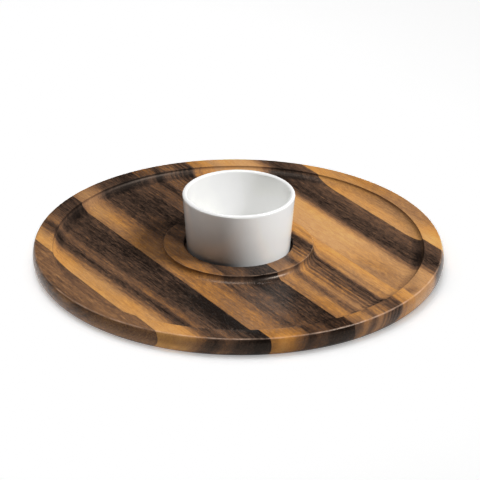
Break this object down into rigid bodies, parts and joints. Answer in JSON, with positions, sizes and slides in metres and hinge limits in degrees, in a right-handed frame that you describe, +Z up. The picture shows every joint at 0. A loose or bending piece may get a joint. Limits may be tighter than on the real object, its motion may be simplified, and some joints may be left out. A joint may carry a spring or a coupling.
{
  "type": "chip and dip server",
  "caption": "Round turned wooden tray glued from parallel staves, with a chip trough around a raised collar and a lift-out glazed dip bowl.",
  "frame": {"origin": "centre of the tray's flat underside, on the surface that it stands on", "axes": "+Z up along the axis of the tray and the bowl; +Y along the staves and their grain; +X across the staves, towards the palest one"},
  "size_m": [0.3808, 0.3808, 0.0688],
  "materials": {
    "walnut_brown_acacia": "satin oil finish",
    "dark_heartwood_acacia": "satin oil finish",
    "two_tone_acacia": "satin oil finish",
    "streaked_acacia": "satin oil finish",
    "golden_acacia": "satin oil finish",
    "pale_acacia": "satin oil finish",
    "white_glaze": "glossy glaze"
  },
  "bodies": {
    "tray": {"left_edge_stave": "walnut_brown_acacia", "left_stave": "dark_heartwood_acacia", "centre_left_stave": "two_tone_acacia", "centre_right_stave": "streaked_acacia", "right_stave": "golden_acacia", "right_edge_stave": "pale_acacia"},
    "bowl": {"dip_bowl": "white_glaze"}
  },
  "joints": [
    {"name": "bowl_lift", "type": "slide", "parent": "tray", "child": "bowl", "axis": [0, 0, 1], "range_m": [0, 0.08]}
  ]
}
